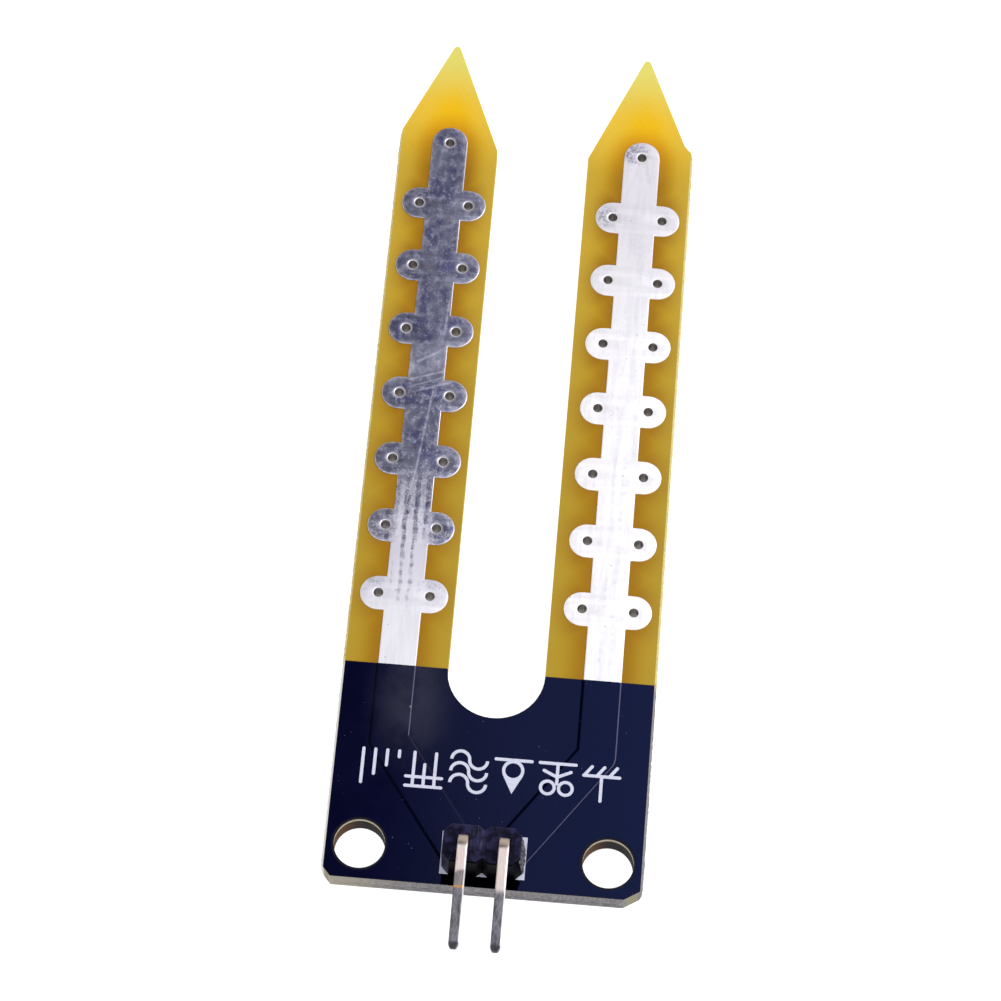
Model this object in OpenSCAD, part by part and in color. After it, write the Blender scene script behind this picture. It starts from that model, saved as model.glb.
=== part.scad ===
// Two-prong soil moisture probe: a fork of bare circuit board that carries a tinned
// electrode on each prong, and a masked base with a two-pin header and two mounting holes.
// Lengths are in millimetres. The origin is on the board's back face, midway between the
// mounting holes. +Y runs towards the tips and +Z stands out of the front face.
// Inside the modules, y is counted from the board's bottom edge, and on_board() moves the
// finished shape into the part's frame.

/* [Board] */
// Overall width across both prongs
board_w = 20; // [19.8:0.1:22]
// Thickness of the bare laminate
board_t = 1.6; // [1.2:0.1:2]
// Width of the slot between the prongs
slot_w = 6.2; // [5.8:0.1:6.4]
// How far the slot sits to the left of the centre line
slot_shift = 0.2; // [0:0.05:0.3]
// Height of the slot's round floor above the bottom edge
slot_floor = 11.5; // [11:0.1:12]
// Depth of the scored groove along which each outer edge was snapped off
score_depth = 0.5; // [0.3:0.05:0.55]
// How far the snapped edge stands out beyond the board's faces
score_out = 0.14; // [0.08:0.02:0.2]

/* [Tips] */
// Height at which the straight sides of a tip would meet
tip_y = 61.5; // [60:0.1:63]
// Radius of the blunted tips
tip_r = 0.25; // [0.1:0.05:0.5]
// Distance of the left tip from the centre line
left_tip_x = 6.7; // [6.4:0.05:7]
// Distance of the right tip from the centre line
right_tip_x = 6.45; // [6.3:0.05:7]
// Height of the left prong's outer shoulder
left_shoulder = 53.9; // [53:0.1:55]
// Height at which the right tip's outer side would meet the board's edge
right_shoulder = 53.1; // [52.5:0.1:53.4]
// Height of both inner shoulders
inner_shoulder = 53; // [52:0.1:54.5]
// Height at which the nib on the right shoulder leaves the board's edge
nib_y = 53.9; // [53.6:0.1:54.1]
// Share of the right tip's outer side that is left above the nib
nib_share = 0.83; // [0.8:0.01:0.85]
// Sideways run of the nib's upper side
nib_run = 0.28; // [0.2:0.02:0.3]
// Drop of the nib's upper side
nib_drop = 0.32; // [0.24:0.02:0.36]

/* [Cut corners] */
// Height of the cut at both bottom corners
corner_rise = 0.85; // [0.5:0.05:0.9]
// Width of the cut at the bottom left corner
left_corner = 0.75; // [0.4:0.05:1.2]
// Width of the cut at the bottom right corner
right_corner = 1.35; // [0.4:0.05:1.5]

/* [Mounting holes] */
// Diameter of each mounting hole
hole_d = 3.2; // [2.5:0.1:3.3]
// Distance between the centres of the two holes
hole_spacing = 15.5; // [15.2:0.1:15.6]
// Height of the hole centres above the bottom edge
hole_rise = 2.4; // [2.3:0.05:2.7]

/* [Electrodes] */
// Distance of each electrode's centre line from the board's centre line
electrode_x = 6.55; // [6.5:0.05:6.65]
// Width of the straight strip and of the trace that continues it
strip_w = 2.36; // [1.8:0.02:2.36]
// Number of cross bars on each electrode
bar_count = 7; // [5:1:7]
// Distance from one cross bar to the next
bar_pitch = 4.83; // [4:0.01:4.84]
// Height of the lowest cross bar above the bottom edge
first_bar_y = 19.5; // [18:0.1:19.6]
// Width of a cross bar, which is also the diameter of its round ends
bar_w = 2.3; // [1.8:0.02:2.4]
// Distance of each side hole from the strip's centre line
side_via_x = 1.66; // [1.5:0.02:1.7]
// Open diameter of the small plated holes
via_d = 0.6; // [0.4:0.02:0.8]

/* [Traces] */
// Height at which each trace turns towards the header
knee_y = 9.45; // [9:0.05:10]
// Radius of the round pad around each header hole
pad_r = 0.85; // [0.75:0.05:0.95]

/* [Layers] */
// Thickness of the copper
copper_t = 0.05; // [0.035:0.005:0.07]
// Thickness of the tin over the copper
tin_t = 0.03; // [0.02:0.005:0.04]
// Wall thickness of the plating in every plated hole
plating_t = 0.04; // [0.025:0.005:0.05]
// Thickness of the solder mask over bare laminate
mask_t = 0.04; // [0.03:0.005:0.05]
// Thickness of the solder mask over a trace
trace_mask_t = 0.03; // [0.02:0.005:0.04]
// Height of the straight upper edge of the mask
mask_top = 14.6; // [14:0.1:15]
// Bare margin between the mask and the edges of the board's face
edge_margin = 0.02; // [0.01:0.01:0.1]
// Bare margin between the mask and the slot
slot_margin = 0.05; // [0.03:0.01:0.1]
// Bare margin between the mask and a mounting hole
hole_margin = 0.16; // [0.16:0.01:0.24]
// Gap between a header pad and the mask around it
pad_opening = 0.05; // [0.03:0.01:0.08]
// Thickness of the printed ink on top of the highest mask
ink_t = 0.02; // [0.01:0.005:0.03]

/* [Printed marks] */
// Height of the middle of the row of symbols above the bottom edge
symbol_y = 7.6; // [7.4:0.05:7.8]
// Side of the square that each symbol fills
symbol_size = 2.46; // [2:0.02:2.5]
// Distance from one symbol to the next
symbol_pitch = 2.78; // [2.7:0.02:2.84]
// Width of a printed line
stroke_w = 0.2; // [0.16:0.02:0.28]
// Width of the printed block under the header
block_w = 5.3; // [5.2:0.05:6]
// Height of the printed block's lower edge
block_y = 0.85; // [0.7:0.05:0.9]
// Depth of the printed block
block_depth = 2.8; // [2.6:0.05:3]
// Gap between a header pad and the printed block
block_gap = 0.1; // [0.08:0.01:0.12]

/* [Header] */
// Distance between the two pins
pin_pitch = 2.54; // [2.5:0.02:2.54]
// Height of the pin holes above the bottom edge
header_y = 2.05; // [2:0.05:2.2]
// Depth of the header's plastic body
body_depth = 2.5; // [2.3:0.1:2.5]
// Height of the header's plastic body
body_h = 2.5; // [2.3:0.1:2.6]
// Width of the cut corners of each half of the body
body_cut_x = 0.42; // [0.2:0.02:0.5]
// Depth of the cut corners of each half of the body
body_cut_y = 0.38; // [0.2:0.02:0.5]
// Side of the square pins
pin_w = 0.64; // [0.6:0.01:0.66]
// Outer radius of the bend in a pin
bend_r = 0.9; // [0.8:0.02:1]
// Height of the level part's upper face above the board's front face
pin_top = 3.9; // [3.8:0.05:4.4]
// How far a pin reaches past the board's bottom edge
pin_reach = 5.15; // [4:0.05:8]
// How far a pin stands out of the board's back face
pin_tail = 1.3; // [1.1:0.1:1.6]
// Length of the taper at a pin's ends
pin_taper = 0.3; // [0.1:0.05:0.5]
// Open diameter of the header holes
header_hole_d = 1; // [0.96:0.02:1.1]

/* [Solder] */
// Height of the solder cone on the back face
solder_h = 0.95; // [0.7:0.05:0.95]
// Radius of the solder where it ends on the pin
solder_neck_r = 0.46; // [0.46:0.01:0.5]

/* [Hidden] */
$fn = 48;

LEFT = -1;
RIGHT = 1;
arc_steps = 8;
cut = 1;
front_copper_z = board_t + copper_t;
low_mask_z = board_t + mask_t;
high_mask_z = front_copper_z + trace_mask_t;
ink_z = high_mask_z + ink_t;
trace_mask_side = 0.06;
neck_step = 0.04;
slot_x = -slot_shift;
slot_centre_y = slot_floor + slot_w / 2;
top_via_y = first_bar_y + bar_count * bar_pitch;
half_w = board_w / 2;
face_half_w = half_w - score_out;
pin_z = board_t + pin_top;
taper_in = pin_w / 5;

function unit(v) = v / norm(v);
function turned(v, angle) = [v.x * cos(angle) - v.y * sin(angle), v.x * sin(angle) + v.y * cos(angle)];

// Points of the arc of radius r that rounds the corner at b between a and c
function corner_arc(a, b, c, r) =
    let (u = unit(a - b), v = unit(c - b))
    let (half = acos(u * v) / 2)
    let (centre = b + unit(u + v) * r / sin(half))
    let (start = b + u * r / tan(half) - centre)
    let (sweep = (180 - 2 * half) * sign(u.y * v.x - u.x * v.y))
    [for (i = [0:arc_steps]) centre + turned(start, sweep * i / arc_steps)];

// Outline of a line of constant width with one mitred bend, from s over k to e
function bent_line(s, k, e, half_width) =
    let (u = unit(k - s), v = unit(e - k))
    let (nu = [-u.y, u.x], nv = [-v.y, v.x])
    let (mitre = (nu + nv) / (1 + nu * nv))
    [s - nu * half_width, k - mitre * half_width, e - nv * half_width,
     e + nv * half_width, k + mitre * half_width, s + nu * half_width];

// Centres of one electrode's plated holes: a pair on each bar, and one at the top
function via_centres(side) = concat(
    [for (i = [0:bar_count - 1], s = [-1, 1])
        [side * electrode_x + s * side_via_x, first_bar_y + i * bar_pitch]],
    [[side * electrode_x, top_via_y]]);

module on_board() {
    translate([0, -hole_rise, 0]) children();
}

// Extrudes a flat outline from height z0 to height z1
module layer(z0, z1) {
    translate([0, 0, z0]) linear_extrude(z1 - z0) children();
}

// ---- board ----

module board_outline() {
    left_inner = slot_x - slot_w / 2;
    right_inner = slot_x + slot_w / 2;
    left_tip = [-left_tip_x, tip_y];
    right_tip = [right_tip_x, tip_y];
    left_out = [-half_w, left_shoulder];
    left_in = [left_inner, inner_shoulder];
    right_in = [right_inner, inner_shoulder];
    right_out = [half_w, right_shoulder];
    nib_base = right_tip + (right_out - right_tip) * nib_share;
    nib_bend = nib_base + [nib_run, -nib_drop];
    difference() {
        polygon(concat(
            [[-half_w + left_corner, 0], [-half_w, corner_rise], left_out],
            corner_arc(left_out, left_tip, left_in, tip_r),
            [left_in, [left_inner, slot_centre_y], [right_inner, slot_centre_y], right_in],
            corner_arc(right_in, right_tip, right_out, tip_r),
            [nib_base, nib_bend, [half_w, nib_y]],
            [[half_w, corner_rise], [half_w - right_corner, 0]]));
        translate([slot_x, slot_centre_y]) circle(d = slot_w, $fn = 96);
    }
}

module mounting_holes(d) {
    for (s = [-1, 1])
        translate([s * hole_spacing / 2, hole_rise]) circle(d = d, $fn = 64);
}

module via_discs(side, d) {
    for (c = via_centres(side)) translate(c) circle(d = d, $fn = 32);
}

module header_disc(side, r) {
    translate([side * pin_pitch / 2, header_y]) circle(r);
}

// Keeps the faces narrower than the snapped middle along both long sides
module scored_sides() {
    translate([0, tip_y, 0]) rotate([90, 0, 0]) linear_extrude(tip_y + cut) polygon([
        [-face_half_w, 0], [face_half_w, 0], [half_w, score_depth], [half_w, board_t - score_depth],
        [face_half_w, board_t], [-face_half_w, board_t], [-half_w, board_t - score_depth],
        [-half_w, score_depth]]);
}

// Does the same along the bottom edge
module scored_bottom() {
    translate([-half_w, 0, 0]) rotate([90, 0, 90]) linear_extrude(board_w) polygon([
        [score_out, 0], [tip_y, 0], [tip_y, board_t], [score_out, board_t],
        [0, board_t - score_depth], [0, score_depth]]);
}

module substrate() {
    color([0.78, 0.62, 0.16]) on_board() difference() {
        intersection() {
            layer(0, board_t) board_outline();
            scored_sides();
            scored_bottom();
        }
        layer(-cut, board_t + cut) {
            mounting_holes(hole_d);
            for (side = [LEFT, RIGHT]) {
                via_discs(side, via_d + 2 * plating_t);
                header_disc(side, header_hole_d / 2 + plating_t);
            }
        }
    }
}

// ---- copper, tin and plated holes ----

// Strip and trace in one, from the top hole down to the header pad
module trace_outline(side, grow) {
    polygon(bent_line(
        [side * electrode_x, top_via_y],
        [side * electrode_x, knee_y],
        [side * pin_pitch / 2, header_y],
        strip_w / 2 + grow));
}

// Cross bars with round ends, and the round top end of the strip
module bars_outline(side, grow) {
    for (i = [0:bar_count - 1])
        translate([side * electrode_x, first_bar_y + i * bar_pitch]) {
            square([2 * side_via_x, bar_w - neck_step + 2 * grow], center = true);
            for (s = [-1, 1]) translate([s * side_via_x, 0]) circle(bar_w / 2 + grow);
        }
    translate([side * electrode_x, top_via_y]) circle((strip_w + neck_step) / 2 + grow);
}

module copper(side, z0) {
    difference() {
        layer(z0, z0 + copper_t) {
            trace_outline(side, 0);
            bars_outline(side, 0);
            header_disc(side, pad_r);
        }
        layer(z0 - cut, z0 + copper_t + cut) {
            via_discs(side, via_d + 2 * plating_t);
            header_disc(side, header_hole_d / 2 + plating_t);
        }
    }
}

// Part of an electrode above the mask's edge, grown outwards by the tin's thickness
module open_electrode(side, grow) {
    intersection() {
        union() {
            trace_outline(side, grow);
            bars_outline(side, grow);
        }
        translate([side * electrode_x - half_w / 2, mask_top]) square([half_w, tip_y - mask_top]);
    }
}

// Tin cap on the front: a sheet over the copper, with walls down to the laminate
module tin_cap(side) {
    difference() {
        layer(board_t, front_copper_z + tin_t) open_electrode(side, tin_t);
        layer(board_t - cut, front_copper_z) {
            trace_outline(side, 0);
            bars_outline(side, 0);
        }
        layer(board_t, front_copper_z + tin_t + cut) via_discs(side, via_d);
    }
}

// Mirrors a front layer through the middle of the board to the back face
module on_back() {
    translate([0, 0, board_t]) mirror([0, 0, 1]) children();
}

module barrel(d, c) {
    translate([c.x, c.y, -copper_t]) difference() {
        cylinder(d = d + 2 * plating_t, h = board_t + 2 * copper_t);
        translate([0, 0, -cut]) cylinder(d = d, h = board_t + 2 * cut);
    }
}

module vias(side) {
    color([0.62, 0.62, 0.64]) on_board()
        for (c = via_centres(side)) barrel(via_d, c, $fn = 32);
}

module header_barrel(side) {
    color([0.8, 0.5, 0.3]) on_board() barrel(header_hole_d, [side * pin_pitch / 2, header_y]);
}

module left_copper_front() { color([0.8, 0.48, 0.28]) on_board() copper(LEFT, board_t); }
module right_copper_front() { color([0.8, 0.48, 0.28]) on_board() copper(RIGHT, board_t); }
module left_copper_back() { color([0.8, 0.48, 0.28]) on_board() copper(LEFT, -copper_t); }
module right_copper_back() { color([0.8, 0.48, 0.28]) on_board() copper(RIGHT, -copper_t); }
module left_tin_front() { color([0.66, 0.65, 0.73]) on_board() tin_cap(LEFT); }
module right_tin_front() { color([0.87, 0.86, 0.9]) on_board() tin_cap(RIGHT); }
module left_tin_back() { color([0.8, 0.8, 0.84]) on_board() on_back() tin_cap(LEFT); }
module right_tin_back() { color([0.8, 0.8, 0.84]) on_board() on_back() tin_cap(RIGHT); }
module left_vias() { vias(LEFT); }
module right_vias() { vias(RIGHT); }
module left_header_barrel() { header_barrel(LEFT); }
module right_header_barrel() { header_barrel(RIGHT); }

// ---- solder mask ----

// Height of a corner's cut at a given distance in from the side
function cut_height(corner_w, inset) = corner_rise * (1 - inset / corner_w);

// Distance of a corner's cut from the side at the mask's lower edge
function cut_inset(corner_w, y) = corner_w * (1 - y / corner_rise);

module mask_outline() {
    side_x = face_half_w - edge_margin;
    side_inset = half_w - side_x;
    low_y = score_out + edge_margin;
    difference() {
        polygon([
            [-half_w + cut_inset(left_corner, low_y) + edge_margin, low_y],
            [half_w - cut_inset(right_corner, low_y) - edge_margin, low_y],
            [side_x, cut_height(right_corner, side_inset) + edge_margin],
            [side_x, mask_top],
            [-side_x, mask_top],
            [-side_x, cut_height(left_corner, side_inset) + edge_margin]]);
        mounting_holes(hole_d + 2 * hole_margin);
        translate([slot_x, slot_centre_y]) circle(d = slot_w + 2 * slot_margin, $fn = 96);
    }
}

module mask() {
    difference() {
        union() {
            layer(board_t, low_mask_z) mask_outline();
            layer(board_t, high_mask_z) intersection() {
                mask_outline();
                union() {
                    for (side = [LEFT, RIGHT]) trace_outline(side, trace_mask_side);
                }
            }
        }
        layer(board_t - cut, front_copper_z)
            for (side = [LEFT, RIGHT]) trace_outline(side, 0);
        layer(board_t - cut, high_mask_z + cut)
            for (side = [LEFT, RIGHT]) header_disc(side, pad_r + pad_opening);
    }
}

module mask_front() { color([0.07, 0.07, 0.2]) on_board() mask(); }
module mask_back() { color([0.07, 0.07, 0.2]) on_board() on_back() mask(); }

// ---- printed ink ----

// Straight printed line with round ends
module stroke(a, b) {
    along = b - a;
    translate(a) rotate(atan2(along.y, along.x)) translate([0, -stroke_w / 2])
        square([norm(along), stroke_w]);
    for (p = [a, b]) translate(p) circle(stroke_w / 2, $fn = 24);
}

module ring(r) {
    difference() {
        circle(r + stroke_w / 2);
        circle(r - stroke_w / 2);
    }
}

// Upper or lower half of a ring, which makes the crests and troughs of a wave
module half_ring(r, up) {
    intersection() {
        ring(r);
        translate([-2 * r, up ? 0 : -2 * r]) square([4 * r, 2 * r]);
    }
}

// Each symbol fills a square of side 2 r about its own origin, standing upright
module bars_symbol(r) {
    for (i = [0:3]) stroke([(i * 2 / 3 - 1) * r, -r], [(i * 2 / 3 - 1) * r, (i * 0.55 - 0.65) * r]);
}

module fork_symbol(r) {
    stroke([-0.6 * r, r], [-0.6 * r, -r]);
    stroke([0.6 * r, r], [0.6 * r, -r]);
    stroke([-r, 0.45 * r], [r, 0.45 * r]);
    stroke([-r, r], [r, r]);
    stroke([0, r], [0, -0.3 * r]);
}

module wave_symbol(r) {
    crest = r / 2;
    for (y = [-0.8, -0.1, 0.6]) translate([0, y * r]) {
        translate([-crest, 0]) half_ring(crest, true);
        translate([crest, 0]) half_ring(crest, false);
    }
}

module drop_symbol(r) {
    belly = 0.62 * r;
    difference() {
        union() {
            translate([0, -0.38 * r]) circle(belly);
            polygon([[0.93 * belly, -0.12 * r], [0, r], [-0.93 * belly, -0.12 * r]]);
        }
        translate([0, -0.38 * r]) circle(belly - stroke_w);
    }
    stroke([-r, -r], [r, -r]);
}

module sprout_symbol(r) {
    stroke([0, -r], [0, 0.2 * r]);
    for (s = [-1, 1]) {
        translate([s * 0.5 * r, 0.45 * r]) ring(0.38 * r);
        stroke([0, -0.2 * r], [s * 0.75 * r, -0.55 * r]);
    }
    stroke([-r, -r], [r, -r]);
}

module ground_symbol(r) {
    stroke([-r, -0.45 * r], [r, -0.45 * r]);
    stroke([0, -0.45 * r], [0, r]);
    for (i = [0:2]) stroke([(i - 0.6) * 0.7 * r, -0.45 * r], [(i - 1.2) * 0.7 * r, -r]);
}

// The symbols read upright with the prongs pointing down
module symbol_row() {
    r = (symbol_size - stroke_w) / 2;
    translate([0, symbol_y]) rotate(180) {
        translate([2.5 * symbol_pitch, 0]) bars_symbol(r);
        translate([1.5 * symbol_pitch, 0]) fork_symbol(r);
        translate([0.5 * symbol_pitch, 0]) wave_symbol(r);
        translate([-0.5 * symbol_pitch, 0]) drop_symbol(r);
        translate([-1.5 * symbol_pitch, 0]) sprout_symbol(r);
        translate([-2.5 * symbol_pitch, 0]) ground_symbol(r);
    }
}

// Ink fills the low mask up to one level and runs thinly over the raised traces
module ink() {
    difference() {
        layer(low_mask_z, ink_z) children();
        layer(low_mask_z - cut, high_mask_z)
            for (side = [LEFT, RIGHT]) trace_outline(side, trace_mask_side);
    }
}

module printed_symbols() {
    color("white") on_board() ink() symbol_row();
}

module printed_header_block() {
    color("white") on_board() ink() difference() {
        translate([-block_w / 2, block_y]) square([block_w, block_depth]);
        for (side = [LEFT, RIGHT]) header_disc(side, pad_r + block_gap);
    }
}

// ---- header ----

module body_outline(side) {
    w = pin_pitch / 2;
    d = body_depth / 2;
    translate([side * w, header_y]) polygon([
        [-w, body_cut_y - d], [body_cut_x - w, -d], [w - body_cut_x, -d], [w, body_cut_y - d],
        [w, d - body_cut_y], [w - body_cut_x, d], [body_cut_x - w, d], [-w, d - body_cut_y]]);
}

module header_housing() {
    color([0.06, 0.06, 0.07]) on_board() difference() {
        layer(ink_z, ink_z + body_h) for (side = [LEFT, RIGHT]) body_outline(side);
        layer(ink_z - cut, ink_z + body_h + cut)
            for (side = [LEFT, RIGHT])
                translate([side * pin_pitch / 2, header_y]) square(pin_w, center = true);
    }
}

// Side view of a pin: x here is the part's y, and y here is the part's z
module pin_side_view() {
    back = header_y + pin_w / 2;
    bend_y = back - bend_r;
    bend_z = pin_z - bend_r;
    front = -pin_reach;
    polygon([
        [back - pin_w, bend_z], [back - pin_w, pin_taper - pin_tail],
        [back - pin_w + taper_in, -pin_tail], [back - taper_in, -pin_tail],
        [back, pin_taper - pin_tail], [back, bend_z]]);
    polygon([
        [bend_y, pin_z], [front + pin_taper, pin_z], [front, pin_z - taper_in],
        [front, pin_z - pin_w + taper_in], [front + pin_taper, pin_z - pin_w], [bend_y, pin_z - pin_w]]);
    intersection() {
        translate([bend_y, bend_z]) difference() {
            circle(bend_r, $fn = 64);
            circle(bend_r - pin_w, $fn = 64);
        }
        translate([bend_y, bend_z]) square(bend_r);
    }
}

// Plan view of a pin, which narrows at its free end
module pin_plan_view() {
    w = pin_w / 2;
    polygon([
        [-w, header_y + 1], [-w, pin_taper - pin_reach], [taper_in - w, -pin_reach],
        [w - taper_in, -pin_reach], [w, pin_taper - pin_reach], [w, header_y + 1]]);
}

module pin(side) {
    color([0.72, 0.7, 0.7]) on_board() translate([side * pin_pitch / 2, 0, 0]) intersection() {
        translate([-pin_w / 2, 0, 0]) rotate([90, 0, 90]) linear_extrude(pin_w) pin_side_view();
        layer(-pin_tail - cut, pin_z + cut) pin_plan_view();
    }
}

module left_pin() { pin(LEFT); }
module right_pin() { pin(RIGHT); }

// Solder fills the header hole around the pin and stands as a cone on the back pad
module solder_joint(side) {
    color([0.75, 0.75, 0.78]) on_board() translate([side * pin_pitch / 2, header_y, 0])
        difference() {
            union() {
                translate([0, 0, -copper_t]) cylinder(d = header_hole_d, h = front_copper_z + copper_t);
                translate([0, 0, -copper_t - solder_h])
                    cylinder(r1 = solder_neck_r, r2 = pad_r, h = solder_h);
            }
            translate([0, 0, board_t / 2]) cube([pin_w, pin_w, 4 * board_t], center = true);
        }
}

module left_solder_joint() { solder_joint(LEFT); }
module right_solder_joint() { solder_joint(RIGHT); }

substrate();
left_copper_front();
right_copper_front();
left_copper_back();
right_copper_back();
left_tin_front();
right_tin_front();
left_tin_back();
right_tin_back();
left_vias();
right_vias();
left_header_barrel();
right_header_barrel();
mask_front();
mask_back();
printed_symbols();
printed_header_block();
header_housing();
left_pin();
right_pin();
left_solder_joint();
right_solder_joint();
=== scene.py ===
"""Looks of the soil moisture sensor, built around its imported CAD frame.

Everything is in the row frame: +Y runs towards the tips and +Z out of the front face.
Frame positions are in metres. Shader fields and the sizes below are in millimetres.
"""
import math

import bmesh
import bpy
from mathutils import Matrix, Vector, noise

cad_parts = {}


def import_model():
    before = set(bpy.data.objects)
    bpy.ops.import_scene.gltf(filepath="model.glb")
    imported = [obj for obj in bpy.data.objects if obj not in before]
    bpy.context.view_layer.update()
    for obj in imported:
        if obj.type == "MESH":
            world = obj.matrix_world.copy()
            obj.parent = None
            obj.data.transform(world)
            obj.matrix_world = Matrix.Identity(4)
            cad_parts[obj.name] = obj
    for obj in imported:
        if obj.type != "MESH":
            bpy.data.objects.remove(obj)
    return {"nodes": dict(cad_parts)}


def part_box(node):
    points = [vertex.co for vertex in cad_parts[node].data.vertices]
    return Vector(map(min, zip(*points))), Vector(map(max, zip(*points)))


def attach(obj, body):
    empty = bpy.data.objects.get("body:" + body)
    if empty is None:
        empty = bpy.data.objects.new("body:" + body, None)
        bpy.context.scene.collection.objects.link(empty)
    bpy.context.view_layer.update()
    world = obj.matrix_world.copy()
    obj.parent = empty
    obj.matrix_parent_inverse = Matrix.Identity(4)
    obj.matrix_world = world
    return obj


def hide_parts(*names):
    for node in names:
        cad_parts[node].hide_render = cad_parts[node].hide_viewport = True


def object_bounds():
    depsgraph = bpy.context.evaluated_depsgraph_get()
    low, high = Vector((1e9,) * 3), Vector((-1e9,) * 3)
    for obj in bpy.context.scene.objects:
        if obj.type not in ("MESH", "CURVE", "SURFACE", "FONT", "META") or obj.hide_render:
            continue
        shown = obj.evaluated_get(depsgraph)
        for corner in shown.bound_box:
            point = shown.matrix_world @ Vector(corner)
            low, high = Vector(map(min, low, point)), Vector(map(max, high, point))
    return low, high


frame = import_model()
cad_low, cad_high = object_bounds()

MM = 0.001

# Sizes of the electrodes, in millimetres. A via is a small plated hole of theirs, and the strip's
# round top is a step wider than the strip.
BAR_PITCH = 4.83
BAR_COUNT = 7
BAR_HALF = 1.15
STRIP_HALF = 1.18
TOP_STEP = 0.02
SIDE_VIA_X = 1.66
VIA_R = 0.3
TIN_T = 0.03
RIM = 0.08

# Sizes and places on the board, in millimetres
SLOT_R = 3.1
SLOT_X = -0.2
HOLE_R = 1.6
HOLE_X = 7.75
TIP_X = 6.58
OUTER_SHOULDER = (10.0, 51.1)
INNER_SHOULDER = (3.1, 50.55)
SCORE_DEPTH = 0.5
SNAPPED_TOP = 51.2
PLY_T = 0.2
WEAVE_ACROSS = 0.58
WEAVE_ALONG = 0.72

# Heights above the board's bottom edge: where the slot ends, where a tip's flanks would meet,
# where the masked traces turn towards the header, and where the snapped outer edges begin
SLOT_UP = 11.5
TIP_UP = 61.5
KNEE_UP = 9.45
SNAPPED_UP = 0.9

# Sizes of the header, in millimetres
PIN_HALF = 0.32
BODY_CUT = 0.4
BODY_RIM = 0.14
TORN_LEAN = 0.24

# The camera: where it aims from the object's centre and how far off it stands, in millimetres,
# its three turns in degrees, and its lens
VIEW_AIM = (-0.94, -1.25, -0.5)
VIEW_DISTANCE = 238.3
VIEW_TILT = 25.62
VIEW_SWING = 2.83
VIEW_ROLL = 2.05
LENS = 131.93
SENSOR = 36.0

# The light: the studio's strength, the floor's own glow, and the dim patch's direction with its
# outer and inner half angles in degrees
STUDIO_LIGHT = 1.1
FLOOR_GLOW = 0.9
DIM_TOWARDS = (-0.06, 0.43, 0.90)
DIM_OUTER = 42
DIM_INNER = 24


def corners_mm(node):
    """Lowest and highest corner of a CAD node in millimetres."""
    low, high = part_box(node)
    return low / MM, high / MM


BOARD_LOW, BOARD_HIGH = corners_mm("substrate")
BOARD_T = BOARD_HIGH.z
HALF_W = BOARD_HIGH.x
TIN_LOW, TIN_HIGH = corners_mm("right_tin_front")
ELECTRODE_X = (TIN_LOW.x + TIN_HIGH.x) / 2
MASK_EDGE = TIN_LOW.y
TIN_TOP = TIN_HIGH.z
TOP_VIA = TIN_HIGH.y - STRIP_HALF - TOP_STEP - TIN_T
FIRST_BAR = TOP_VIA - BAR_COUNT * BAR_PITCH
SLOT_CENTRE_Y = BOARD_LOW.y + SLOT_UP + SLOT_R
TIP_Y = BOARD_LOW.y + TIP_UP
KNEE_Y = BOARD_LOW.y + KNEE_UP
PIN_LOW, PIN_HIGH = corners_mm("right_pin")
PIN_X = (PIN_LOW.x + PIN_HIGH.x) / 2
HEADER_Y = PIN_HIGH.y - PIN_HALF
BODY_LOW, BODY_HIGH = corners_mm("header_housing")
BODY_H = BODY_HIGH.z - BODY_LOW.z


# ---- shader fields ----

def srgb(red, green, blue):
    """A screen colour, 0 to 255, as the linear colour that shaders use."""
    def linear(value):
        value /= 255
        return value / 12.92 if value <= 0.04045 else ((value + 0.055) / 1.055) ** 2.4
    return (linear(red), linear(green), linear(blue), 1.0)


class Field:
    """A number that varies over a surface: one output socket of a node tree."""

    def __init__(self, tree, socket):
        self.tree = tree
        self.socket = socket

    def math(self, operation, *others):
        """A math node fed with this field and the others."""
        node = self.tree.nodes.new("ShaderNodeMath")
        node.operation = operation
        for index, value in enumerate((self, *others)):
            plug(self.tree, node.inputs[index], value)
        return Field(self.tree, node.outputs[0])

    def __add__(self, other):
        return self.math("ADD", other)

    def __sub__(self, other):
        return self.math("SUBTRACT", other)

    def __mul__(self, other):
        return self.math("MULTIPLY", other)

    def __truediv__(self, other):
        return self.math("DIVIDE", other)

    def __rsub__(self, other):
        return (self * -1.0) + other

    __radd__ = __add__
    __rmul__ = __mul__

    def size(self):
        """The field without its sign."""
        return self.math("ABSOLUTE")

    def low(self, other):
        """The lower of the two."""
        return self.math("MINIMUM", other)

    def high(self, other):
        """The higher of the two."""
        return self.math("MAXIMUM", other)

    def ramp(self, start, end):
        """Smoothly from 0 at start to 1 at end. Start may be the larger."""
        node = self.tree.nodes.new("ShaderNodeMapRange")
        node.interpolation_type = "SMOOTHSTEP"
        plug(self.tree, node.inputs["Value"], self)
        plug(self.tree, node.inputs["From Min"], start)
        plug(self.tree, node.inputs["From Max"], end)
        return Field(self.tree, node.outputs["Result"])


def plug(tree, target, value):
    """Sets a node's input to a field, a socket or a plain value."""
    if isinstance(value, Field):
        tree.links.new(value.socket, target)
    elif isinstance(value, bpy.types.NodeSocket):
        tree.links.new(value, target)
    else:
        target.default_value = value


def wave(field, pitch, shift=0.0, shape="COSINE"):
    """A wave along a field, from -1 to 1, with its crests a pitch apart. The shift is an angle."""
    return (field * (2 * math.pi / pitch) + shift).math(shape)


def length(a, b):
    """Length of the flat vector whose parts are the fields a and b."""
    return (a * a + b * b).math("SQRT")


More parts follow.
